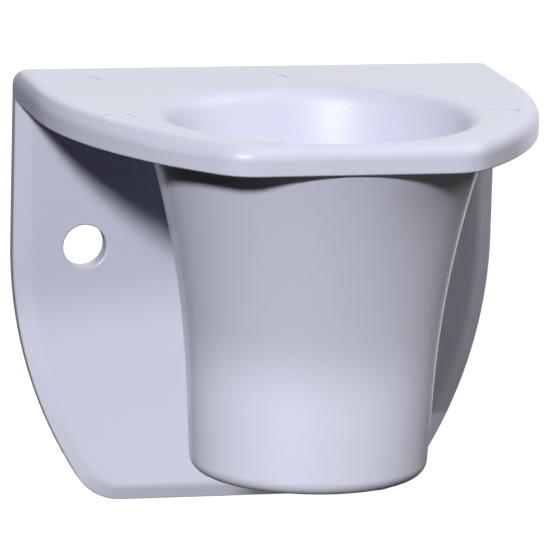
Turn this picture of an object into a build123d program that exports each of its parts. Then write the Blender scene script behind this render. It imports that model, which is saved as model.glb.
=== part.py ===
from build123d import *
import math
import os

# Boat rod holder: a back plate that screws to a wall, a shelf flange along its top edge,
# and a flared cup that hangs from the flange and takes the butt of a fishing rod.
# Millimetres. +X right, +Y into the wall, +Z up. The origin lies on the back face,
# midway between the two screw holes.

# overall
WIDTH = 101.6
HEIGHT = 90.5
PROJECTION = 88.9

# screw holes
HOLE_SPACING = 72.0
HOLE_RADIUS = 4.5
HOLE_BELOW_TOP = 36.3

# back plate
PLATE_THICKNESS = 4.7
PLATE_BEVEL_WIDTH = 3.1
PLATE_BEVEL_ANGLE = math.radians(25)
PLATE_BEVEL_BLEND_RADIUS = 3.2
PLATE_EDGE_RADIUS = 0.5
PLATE_SIDE_ARC_BELOW_TOP = 36.0
PLATE_SIDE_ARC_RADIUS = 91.5
PLATE_CORNER_RADIUS = 10.7
PLATE_ROOT_RADIUS = 1.0

# top flange
FLANGE_THICKNESS = 6.0
FLANGE_EDGE_RADIUS = 3.0
FLANGE_STRAIGHT_SIDE = 23.0
FLANGE_SIDE_ARC_RADIUS = 92.9
FLANGE_NOSE_RADIUS = 10.0
FLANGE_LOWER_EDGE_RADIUS = 0.4

# ejector-pin marks, sunk in the flange's top face: two along the back and one each side of the cup
MARKS_MIDDLE = -0.8
MARK_FROM_MIDDLE = 39.0
BACK_MARK_RADIUS = 4.5
BACK_MARK_FROM_BACK = 12.3
SIDE_MARK_RADIUS = 3.1
MARK_DEPTH = 0.15

# cup: a straight taper at the bottom, then one arc that flares out to the mouth
CUP_AXIS_FROM_BACK = 54.6
CUP_DEPTH = 72.0
CUP_WALL = 5.0
CUP_BOTTOM_RADIUS = 23.6
CUP_TAPER = math.radians(3.35)
CUP_FLARE_BELOW_TOP = 53.5
CUP_FLARE_RADIUS = 198.0
CUP_FOOT_RADIUS = 2.9
CUP_ROOT_RADIUS = 0.5
CUP_FLOOR = 3.5
CUP_FLOOR_CORNER_RADIUS = 2.0
DRAIN_RADIUS = 4.5
LIP_RADIUS = 4.4
LIP_RING_BAND = 0.4

# fine rounding of the rims of the screw holes and the drain hole
HOLE_RIM_RADIUS = 0.4

# places that follow from the sizes
top = HOLE_BELOW_TOP
underside = top - FLANGE_THICKNESS
bottom = top - HEIGHT
cup_bottom = top - CUP_DEPTH
floor_top = cup_bottom + CUP_FLOOR
half_width = WIDTH / 2
bevel_depth = PLATE_BEVEL_WIDTH * math.tan(PLATE_BEVEL_ANGLE)
plate_side_depth = PLATE_THICKNESS - bevel_depth
cup_centre = Location((0, -CUP_AXIS_FROM_BACK, 0))
beyond = 1.0

# the flare's arc: its centre stands outside the cup, and the cup's two faces share it
flare_start = Vector(
    CUP_BOTTOM_RADIUS + math.tan(CUP_TAPER) * (CUP_DEPTH - CUP_FLARE_BELOW_TOP),
    top - CUP_FLARE_BELOW_TOP,
)
flare_centre = flare_start + Vector(math.cos(CUP_TAPER), -math.sin(CUP_TAPER)) * CUP_FLARE_RADIUS
inner_flare_radius = CUP_FLARE_RADIUS + CUP_WALL


def polar(centre, radius, angle):
    """Point on a circle in a sketch, the angle counted from the sketch's x axis."""
    return centre + Vector(math.cos(angle), math.sin(angle)) * radius


def arc(centre, radius, start, end):
    """Arc about a centre from one angle to another, the short way."""
    middle = (start + end) / 2
    return ThreePointArc(*(polar(centre, radius, angle) for angle in (start, middle, end)))


def face_of(edges):
    """Face inside a closed run of edges."""
    return make_face(Curve() + edges)


def turned(edges):
    """Solid of revolution about the cup's axis, from a profile in radius and height."""
    return cup_centre * revolve(Plane.XZ * face_of(edges), Axis.Z)


def rounding_centre(flare_radius, radius, height):
    """Centre, at a height, of a circle that touches a flare arc from inside."""
    reach = flare_radius - radius
    return Vector(flare_centre.X - math.sqrt(reach**2 - (height - flare_centre.Y) ** 2), height)


def flare_contact(centre):
    """Angle on a flare arc of the point where a rounding about this centre touches it."""
    spoke = centre - flare_centre
    return math.atan2(spoke.Y, spoke.X)


def straight_wall(inset, height):
    """Radius of the cup's straight taper at a height, set in from the outer face."""
    outer = CUP_BOTTOM_RADIUS + math.tan(CUP_TAPER) * (height - cup_bottom)
    return outer - inset / math.cos(CUP_TAPER)


def disc(radius, low, high, place):
    """Upright cylinder between two heights."""
    return place * Pos(0, 0, low) * extrude(Circle(radius), high - low)


def plate_outline():
    """Back plate seen from the front: straight sides, one long arc each side, round corners."""
    arc_centre = Vector(half_width - PLATE_SIDE_ARC_RADIUS, top - PLATE_SIDE_ARC_BELOW_TOP)
    corner_height = bottom + PLATE_CORNER_RADIUS
    drop = corner_height - arc_centre.Y
    turn = math.asin(drop / (PLATE_SIDE_ARC_RADIUS - PLATE_CORNER_RADIUS))
    corner_centre = polar(arc_centre, PLATE_SIDE_ARC_RADIUS - PLATE_CORNER_RADIUS, turn)
    right = [
        Line((0, bottom), (corner_centre.X, bottom)),
        arc(corner_centre, PLATE_CORNER_RADIUS, -math.pi / 2, turn),
        arc(arc_centre, PLATE_SIDE_ARC_RADIUS, turn, 0),
        Line((half_width, arc_centre.Y), (half_width, underside)),
        Line((half_width, underside), (0, underside)),
    ]
    left = [mirror(edge, about=Plane.YZ) for edge in right]
    return face_of(right + left)


def flange_outline():
    """Flange seen from above: a straight back, sides that curve in, and a short flat nose."""
    arc_centre = Vector(half_width - FLANGE_SIDE_ARC_RADIUS, -FLANGE_STRAIGHT_SIDE)
    turn = -math.asin((PROJECTION - FLANGE_STRAIGHT_SIDE) / FLANGE_SIDE_ARC_RADIUS)
    nose = polar(arc_centre, FLANGE_SIDE_ARC_RADIUS, turn)
    right = [
        Line((0, 0), (half_width, 0)),
        Line((half_width, 0), (half_width, arc_centre.Y)),
        arc(arc_centre, FLANGE_SIDE_ARC_RADIUS, 0, turn),
        Line(nose, (0, -PROJECTION)),
    ]
    left = [mirror(edge, about=Plane.YZ) for edge in right]
    outline = face_of(right + left)
    return fillet(outline.vertices().sort_by(Axis.Y)[:2], FLANGE_NOSE_RADIUS)


def cup_outside():
    """Cup's outer shape, solid, from its foot to the flange."""
    root = rounding_centre(CUP_FLARE_RADIUS, CUP_ROOT_RADIUS, underside - CUP_ROOT_RADIUS)
    root_start = flare_contact(root)
    foot = (CUP_BOTTOM_RADIUS, cup_bottom)
    solid = turned(
        [
            Line((0, cup_bottom), foot),
            Line(foot, flare_start),
            arc(flare_centre, CUP_FLARE_RADIUS, math.pi - CUP_TAPER, root_start),
            arc(root, CUP_ROOT_RADIUS, root_start, math.pi / 2),
            Line((root.X, underside), (0, underside)),
            Line((0, underside), (0, cup_bottom)),
        ]
    )
    foot_edge = solid.edges().filter_by(GeomType.CIRCLE).sort_by(Axis.Z)[0]
    return fillet(foot_edge, CUP_FOOT_RADIUS)


def lip_centre():
    """Centre of the mouth lip's rounding, tangent to the flared wall and to the top face."""
    return rounding_centre(inner_flare_radius, LIP_RADIUS, top - LIP_RADIUS)


def cavity():
    """Space inside the cup, from its floor out through the rounded mouth."""
    lip = lip_centre()
    lip_start = flare_contact(lip)
    inner_start = polar(flare_centre, inner_flare_radius, math.pi - CUP_TAPER)
    corner = (straight_wall(CUP_WALL, floor_top), floor_top)
    mouth = (lip.X, top)
    solid = turned(
        [
            Line((0, floor_top), corner),
            Line(corner, inner_start),
            arc(flare_centre, inner_flare_radius, math.pi - CUP_TAPER, lip_start),
            arc(lip, LIP_RADIUS, lip_start, math.pi / 2),
            Line(mouth, (lip.X, top + beyond)),
            Line((lip.X, top + beyond), (0, top + beyond)),
            Line((0, top + beyond), (0, floor_top)),
        ]
    )
    floor_edge = solid.edges().filter_by(GeomType.CIRCLE).sort_by(Axis.Z)[0]
    return fillet(floor_edge, CUP_FLOOR_CORNER_RADIUS)


def plate_root():
    """Small inside fillet between the plate's front face and the flange, along the flat and both bevels."""
    corner = Vector(0, underside)
    far = corner - Vector(0, PLATE_ROOT_RADIUS)
    near = corner + Vector(PLATE_ROOT_RADIUS, 0)
    hollow = arc(corner + Vector(1, -1) * PLATE_ROOT_RADIUS, PLATE_ROOT_RADIUS, math.pi, math.pi / 2)
    section = face_of([Line(corner, far), hollow, Line(near, corner)])
    middle = Plane((0, -PLATE_THICKNESS, 0), (0, -1, 0), (-1, 0, 0)) * section
    reach = half_width - PLATE_BEVEL_WIDTH
    turn = math.degrees(PLATE_BEVEL_ANGLE)
    pieces = [extrude(middle, reach, both=True)]
    for side in (-1, 1):
        end = Pos(side * reach, 0, 0) * middle
        bend = Axis((side * reach, -PLATE_THICKNESS, 0), (0, 0, side))
        along_bevel = Vector(side * PLATE_BEVEL_WIDTH, bevel_depth)
        pieces.append(revolve(end, bend, turn))
        pieces.append(extrude(end.rotate(bend, turn), dir=along_bevel, amount=along_bevel.length))
    keep = Pos(0, 0, underside) * Box(2 * (half_width - PLATE_EDGE_RADIUS), WIDTH, HEIGHT)
    return [piece & keep for piece in pieces]


def round_rims(solid, radius):
    """Round both rims of every straight hole of this radius."""
    rims = [edge for edge in solid.edges().filter_by(GeomType.CIRCLE) if round(edge.radius, 3) == radius]
    return fillet(rims, HOLE_RIM_RADIUS)


def build_back_plate():
    """Flat plate with bevelled front edges, two screw holes, and a fillet under the flange."""
    plate = extrude(Plane.XZ * plate_outline(), PLATE_THICKNESS)
    front = plate.faces().sort_by(Axis.Y)[0]
    plate = chamfer(front.edges().sort_by(Axis.Z)[:-1], PLATE_BEVEL_WIDTH, bevel_depth, reference=front)
    for depth, radius in ((PLATE_THICKNESS, PLATE_BEVEL_BLEND_RADIUS), (plate_side_depth, PLATE_EDGE_RADIUS)):
        rim = plate.edges().filter_by_position(Axis.Y, -depth, -depth).sort_by(Axis.Z)[:-1]
        plate = fillet(rim, radius)
    for side in (-1, 1):
        hole = Plane.XZ * Pos(side * HOLE_SPACING / 2, 0) * Circle(HOLE_RADIUS)
        plate -= extrude(hole, PLATE_THICKNESS)
    return round_rims(plate, HOLE_RADIUS) + plate_root()


def build_flange_slab():
    """Whole flange before the mouth is opened in it, its edges rounded except where it joins the plate."""
    slab = Pos(0, 0, underside) * extrude(flange_outline(), FLANGE_THICKNESS)
    top_edges = slab.faces().sort_by(Axis.Z)[-1].edges().sort_by(Axis.Y)
    slab = fillet(top_edges[:-1], FLANGE_EDGE_RADIUS)
    over_plate = slab & (Pos(0, 0, top) * Box(WIDTH, 2 * plate_side_depth, HEIGHT))
    lower_edges = slab.faces().sort_by(Axis.Z)[0].edges().sort_by(Axis.Y)
    return fillet(lower_edges[:-1], FLANGE_LOWER_EDGE_RADIUS) + over_plate


def pin_mark(radius, from_middle, from_back):
    """Shallow disc that one of the mould's ejector pins leaves in the flange's top face."""
    return disc(radius, top - MARK_DEPTH, top, Pos(MARKS_MIDDLE + from_middle, -from_back))


def pin_marks():
    """The left and middle marks along the back, and the mark on each side of the cup."""
    back = [pin_mark(BACK_MARK_RADIUS, x, BACK_MARK_FROM_BACK) for x in (-MARK_FROM_MIDDLE, 0)]
    sides = [pin_mark(SIDE_MARK_RADIUS, side * MARK_FROM_MIDDLE, CUP_AXIS_FROM_BACK) for side in (-1, 1)]
    return back + sides


def build_parts():
    """Every node by name."""
    ring_radius = lip_centre().X + LIP_RING_BAND
    slab = build_flange_slab()
    core = disc(ring_radius, underside, top, cup_centre)
    inside = cavity()
    outside = cup_outside()
    below_floor = disc(half_width, cup_bottom, floor_top, cup_centre)
    drain = disc(DRAIN_RADIUS, cup_bottom, floor_top, cup_centre)

    flange = slab - core
    for mark in pin_marks():
        flange -= mark
    return {
        "back_plate": build_back_plate(),
        "top_flange": flange,
        "mouth_lip": (slab & core) - inside,
        "rod_cup": outside - inside - below_floor,
        "cup_floor": round_rims((outside & below_floor) - inside - drain, DRAIN_RADIUS),
    }


os.makedirs("parts", exist_ok=True)
for name, solid in build_parts().items():
    export_step(solid, f"parts/{name}.step")
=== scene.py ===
import math

import bpy
from mathutils import Matrix, Quaternion, Vector

# Directions are an azimuth and an elevation in degrees, seen from the object: azimuth 0 is
# straight in front of it and positive azimuths are on its right. Lengths are metres.

# camera: a long lens, a little above the front and to its left, with a small roll
CAMERA_AZIMUTH = -13.5
CAMERA_ELEVATION = 11.9
CAMERA_DISTANCE = 1.085
CAMERA_ROLL = 1.5
CAMERA_AIM = Vector((-0.0055, -0.0453, 0.0019))
CAMERA_FOCAL_MM = 356.0
CAMERA_SENSOR_MM = 36.0
CAMERA_NEAR = 0.05
CAMERA_FAR = 60.0

# light colours
NEUTRAL = (1.0, 1.0, 1.0)
COOL = (0.95, 0.96, 1.0)
ROSE = (1.0, 0.87, 0.80)

# every light stands this far from this place, and the soft lights face it
LIGHTS_AIM = Vector((0.0, -0.045, 0.0))
LIGHT_DISTANCE = 1.2

# soft lights: azimuth, elevation, width, height, watts and colour of each
SOFT_LIGHTS = {
    "key": (-28, 28, 0.12, 0.12, 12.2, COOL),
    "top_light": (30, 60, 0.30, 0.30, 1.0, NEUTRAL),
    "side_light": (82, 38, 0.60, 0.60, 6.4, NEUTRAL),
    "backdrop_card": (156, 25, 1.50, 2.00, 9.0, COOL),
    "left_card": (-130, 10, 0.60, 0.90, 0.9, NEUTRAL),
    "front_fill": (30, -3, 0.50, 0.50, 0.8, ROSE),
}

# low spot: a nearly level beam that lights only what is below the height of its top
LOW_SPOT_AZIMUTH = -28
LOW_SPOT_ELEVATION = -0.5
LOW_SPOT_WATTS = 12.0
LOW_SPOT_RADIUS = 0.003
LOW_SPOT_HALF_ANGLE = math.radians(30)
LOW_SPOT_BEAM_TOP = -0.0025
LOW_SPOT_BLEND = 0.05

# floor and backdrop: far enough out to stand behind a camera up to 2 m from the object
FLOOR_BELOW = 2.0
STAGE_REACH = 3.0
STAGE_GLOW = 1.0
STAGE_COLOUR = (1.0, 1.0, 1.0, 1.0)
STAGE_CORNERS = ((-1, -1), (1, -1), (1, 1), (-1, 1))

# plastic: colour, and how much the tone changes from patch to patch and from speck to speck
PLASTIC_COLOUR = (0.70, 0.71, 0.825)
TONE_PATCH, TONE_DEPTH = 0.030, 0.03
SPECK_SIZE, SPECK_DEPTH = 0.0012, 0.02

# plastic: gloss. Roughness drops between two values of facing, which is 0 square on and 1 edge on
GLOSS_PATCH = 0.008
ROUGHNESS_FACING = (0.38, 0.43)
ROUGHNESS_GRAZING = 0.24
GRAZING_STARTS = 0.50
GRAZING_FULL = 0.80
PLASTIC_IOR = 1.5

# plastic: relief, as the size of each bump and its depth
WAVE_SIZE, WAVE_DEPTH = 0.025, 0.00008
PEEL_SIZE, PEEL_DEPTH = 0.0025, 0.000006
GRAIN_SIZE, GRAIN_DEPTH = 0.00035, 0.000004
CORE_GRAIN_SIZE, CORE_GRAIN_DEPTH = 0.0006, 0.00010

# noise: number of finer layers laid over its first one
PLAIN_NOISE = 1
RICH_NOISE = 2

# inside of the cup: its axis, how far out its mask reaches, how far out a surface that faces
# the axis straight has the full mask, and the factors that leave only a vector's level part
CUP_AXIS = Vector((0.0, -0.0546, 0.0))
CUP_REACH = 0.045
CUP_INWARD = 0.027
LEVEL_PART = (1.0, 1.0, 0.0)


def direction(azimuth, elevation):
    """Unit vector from the object towards an azimuth and an elevation in degrees."""
    turn, rise = math.radians(azimuth), math.radians(elevation)
    return Vector((math.sin(turn) * math.cos(rise), -math.cos(turn) * math.cos(rise), math.sin(rise)))


def link(name, data):
    """New object in the scene, holding this data."""
    thing = bpy.data.objects.new(name, data)
    bpy.context.scene.collection.objects.link(thing)
    return thing


def aim(thing, axis):
    """Turn an object so that its local +Z points along an axis."""
    thing.rotation_mode = "QUATERNION"
    thing.rotation_quaternion = axis.to_track_quat("Z", "Y")


def place_camera():
    """Scene's camera, rolled a little about its line of sight."""
    back = direction(CAMERA_AZIMUTH, CAMERA_ELEVATION)
    roll = math.radians(CAMERA_ROLL)
    level_right = Vector((0, 0, 1)).cross(back).normalized()
    level_up = back.cross(level_right)
    right = level_right * math.cos(roll) + level_up * math.sin(roll)
    up = level_up * math.cos(roll) - level_right * math.sin(roll)
    lens = bpy.data.cameras.new("camera")
    lens.lens = CAMERA_FOCAL_MM
    lens.sensor_width = CAMERA_SENSOR_MM
    lens.clip_start = CAMERA_NEAR
    lens.clip_end = CAMERA_FAR
    camera = link("camera", lens)
    turn = Matrix((right, up, back)).transposed().to_4x4()
    camera.matrix_world = Matrix.Translation(CAMERA_AIM + back * CAMERA_DISTANCE) @ turn
    bpy.context.scene.camera = camera


def place_soft_light(name, azimuth, elevation, width, height, watts, colour):
    """Rectangular light that faces the object and stays out of the camera's picture."""
    toward = direction(azimuth, elevation)
    lamp = bpy.data.lights.new(name, "AREA")
    lamp.shape = "RECTANGLE"
    lamp.size = width
    lamp.size_y = height
    lamp.energy = watts
    lamp.color = colour
    light = link(name, lamp)
    light.location = LIGHTS_AIM + toward * LIGHT_DISTANCE
    light.visible_camera = False
    aim(light, toward)


def place_low_spot():
    """Nearly level beam whose top edge crosses the object, so that only its lower part is lit."""
    lamp = bpy.data.lights.new("low_spot", "SPOT")
    lamp.energy = LOW_SPOT_WATTS
    lamp.shadow_soft_size = LOW_SPOT_RADIUS
    lamp.spot_size = 2 * LOW_SPOT_HALF_ANGLE
    lamp.spot_blend = LOW_SPOT_BLEND
    light = link("low_spot", lamp)
    light.location = LIGHTS_AIM + direction(LOW_SPOT_AZIMUTH, LOW_SPOT_ELEVATION) * LIGHT_DISTANCE
    light.visible_camera = False
    beam_top = Vector((LIGHTS_AIM.x, LIGHTS_AIM.y, LOW_SPOT_BEAM_TOP)) - light.location
    level_axis = beam_top.cross(Vector((0, 0, 1)))
    beam_middle = Quaternion(level_axis, -LOW_SPOT_HALF_ANGLE) @ beam_top
    aim(light, -beam_middle)


def stage_material():
    """White of the floor and the backdrop, which glows evenly."""
    material = bpy.data.materials.new("stage_white")
    material.use_nodes = True
    shader = material.node_tree.nodes["Principled BSDF"]
    shader.inputs["Base Color"].default_value = STAGE_COLOUR
    shader.inputs["Specular IOR Level"].default_value = 0
    shader.inputs["Emission Color"].default_value = STAGE_COLOUR
    shader.inputs["Emission Strength"].default_value = STAGE_GLOW
    return material


def stage_piece(name, corners, faces, material):
    """Part of the floor or the backdrop: the camera sees it, but it neither lights nor shades the object."""
    mesh = bpy.data.meshes.new(name)
    mesh.from_pydata(corners, [], faces)
    mesh.materials.append(material)
    piece = link(name, mesh)
    piece.visible_diffuse = False
    piece.visible_glossy = False
    piece.visible_shadow = False


def build_stage():
    """Pale floor, and a pale backdrop that closes it in all round and above."""
    material = stage_material()
    count = len(STAGE_CORNERS)
    foot = [(x * STAGE_REACH, y * STAGE_REACH, -FLOOR_BELOW) for x, y in STAGE_CORNERS]
    head = [(x * STAGE_REACH, y * STAGE_REACH, STAGE_REACH) for x, y in STAGE_CORNERS]
    floor = tuple(range(count))
    ceiling = tuple(range(count, 2 * count))
    walls = []
    for corner in floor:
        following = (corner + 1) % count
        walls.append((corner, following, following + count, corner + count))
    stage_piece("floor", foot, [floor], material)
    stage_piece("backdrop", foot + head, walls + [ceiling], material)


def feed(tree, node, values):
    """Give a node's inputs, in their order, these sockets, numbers or vectors."""
    for socket, value in zip(node.inputs, values):
        if isinstance(value, bpy.types.NodeSocket):
            tree.links.new(value, socket)
        else:
            socket.default_value = value


def add_math(tree, operation, *values):
    """Result of a math node on sockets or numbers."""
    node = tree.nodes.new("ShaderNodeMath")
    node.operation = operation
    feed(tree, node, values)
    return node.outputs["Value"]


def add_vector_math(tree, operation, output, *values):
    """Result, a vector or a value, of a vector math node on sockets or vectors."""
    node = tree.nodes.new("ShaderNodeVectorMath")
    node.operation = operation
    feed(tree, node, values)
    return node.outputs[output]


def add_map(tree, value, start, end, at_start, at_end):
    """Smooth change from one number to another as a value goes from start to end."""
    node = tree.nodes.new("ShaderNodeMapRange")
    node.interpolation_type = "SMOOTHSTEP"
    tree.links.new(value, node.inputs["Value"])
    node.inputs["From Min"].default_value = start
    node.inputs["From Max"].default_value = end
    node.inputs["To Min"].default_value = at_start
    node.inputs["To Max"].default_value = at_end
    return node.outputs["Result"]


def add_noise(tree, place, size, layers):
    """Noise from 0 to 1 whose patches are about this size in metres."""
    node = tree.nodes.new("ShaderNodeTexNoise")
    tree.links.new(place, node.inputs["Vector"])
    node.inputs["Scale"].default_value = 1 / size
    node.inputs["Detail"].default_value = layers
    return node.outputs["Fac"]


def add_bump(tree, height, depth, under):
    """Relief this deep, laid over the relief that is already there."""
    node = tree.nodes.new("ShaderNodeBump")
    node.inputs["Distance"].default_value = depth
    tree.links.new(height, node.inputs["Height"])
    if under is not None:
        tree.links.new(under, node.inputs["Normal"])
    return node.outputs["Normal"]


def core_mask(tree, coordinates):
    """1 on the inside of the cup, where the surface faces the cup's axis, and 0 elsewhere."""
    from_axis = add_vector_math(tree, "SUBTRACT", "Vector", coordinates.outputs["Object"], CUP_AXIS)
    level = add_vector_math(tree, "MULTIPLY", "Vector", from_axis, LEVEL_PART)
    reach = add_vector_math(tree, "LENGTH", "Value", level)
    outward = add_vector_math(tree, "DOT_PRODUCT", "Value", level, coordinates.outputs["Normal"])
    inward = add_map(tree, outward, -CUP_INWARD, 0.0, 1.0, 0.0)
    near = add_math(tree, "LESS_THAN", reach, CUP_REACH)
    return add_math(tree, "MULTIPLY", inward, near)


def plastic_colour(tree, place):
    """Base colour, lighter and darker by a few hundredths in soft patches and fine specks."""
    patches = add_noise(tree, place, TONE_PATCH, RICH_NOISE)
    specks = add_noise(tree, place, SPECK_SIZE, PLAIN_NOISE)
    darkest = 1 - (TONE_DEPTH + SPECK_DEPTH) / 2
    tone = add_math(tree, "MULTIPLY_ADD", patches, TONE_DEPTH, darkest)
    shade = add_math(tree, "MULTIPLY_ADD", specks, SPECK_DEPTH, tone)
    colour = tree.nodes.new("ShaderNodeVectorMath")
    colour.operation = "SCALE"
    colour.inputs[0].default_value = PLASTIC_COLOUR
    tree.links.new(shade, colour.inputs["Scale"])
    return colour.outputs["Vector"]


def plastic_roughness(tree, place, core):
    """Satin inside the cup and where the surface is seen square on, glossier at a shallow angle."""
    patches = add_noise(tree, place, GLOSS_PATCH, RICH_NOISE)
    facing_roughness = add_map(tree, patches, 0.0, 1.0, *ROUGHNESS_FACING)
    angle = tree.nodes.new("ShaderNodeLayerWeight")
    square_on = add_map(tree, angle.outputs["Facing"], GRAZING_STARTS, GRAZING_FULL, 1.0, 0.0)
    share = add_math(tree, "MAXIMUM", square_on, core)
    drop = add_math(tree, "SUBTRACT", facing_roughness, ROUGHNESS_GRAZING)
    rise = add_math(tree, "MULTIPLY", drop, share)
    return add_math(tree, "ADD", rise, ROUGHNESS_GRAZING)


def plastic_relief(tree, place, core):
    """Slight sink and orange peel of a moulding, fine grain, and a coarser grain inside the cup."""
    normal = None
    for size, depth in ((WAVE_SIZE, WAVE_DEPTH), (PEEL_SIZE, PEEL_DEPTH), (GRAIN_SIZE, GRAIN_DEPTH)):
        height = add_noise(tree, place, size, PLAIN_NOISE)
        normal = add_bump(tree, height, depth, normal)
    core_grain = add_noise(tree, place, CORE_GRAIN_SIZE, RICH_NOISE)
    core_height = add_math(tree, "MULTIPLY", core_grain, core)
    return add_bump(tree, core_height, CORE_GRAIN_DEPTH, normal)


def plastic():
    """Grey-lilac moulded plastic, one material for the whole moulding."""
    material = bpy.data.materials.new("plastic")
    material.use_nodes = True
    tree = material.node_tree
    shader = tree.nodes["Principled BSDF"]
    coordinates = tree.nodes.new("ShaderNodeTexCoord")
    place = coordinates.outputs["Object"]
    core = core_mask(tree, coordinates)
    shader.inputs["IOR"].default_value = PLASTIC_IOR
    tree.links.new(plastic_colour(tree, place), shader.inputs["Base Color"])
    tree.links.new(plastic_roughness(tree, place, core), shader.inputs["Roughness"])
    tree.links.new(plastic_relief(tree, place, core), shader.inputs["Normal"])
    return material


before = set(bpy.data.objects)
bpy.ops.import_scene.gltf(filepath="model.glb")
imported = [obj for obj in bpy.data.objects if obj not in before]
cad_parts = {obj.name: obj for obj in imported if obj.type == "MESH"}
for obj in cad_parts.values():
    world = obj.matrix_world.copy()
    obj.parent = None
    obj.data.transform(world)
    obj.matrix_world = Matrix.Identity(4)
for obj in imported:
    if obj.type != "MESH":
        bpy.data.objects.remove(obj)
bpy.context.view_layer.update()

moulding = plastic()
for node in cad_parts.values():
    node.data.materials[0] = moulding

place_camera()
for name, setting in SOFT_LIGHTS.items():
    place_soft_light(name, *setting)
place_low_spot()
build_stage()
bpy.context.scene.view_settings.view_transform = "Standard"
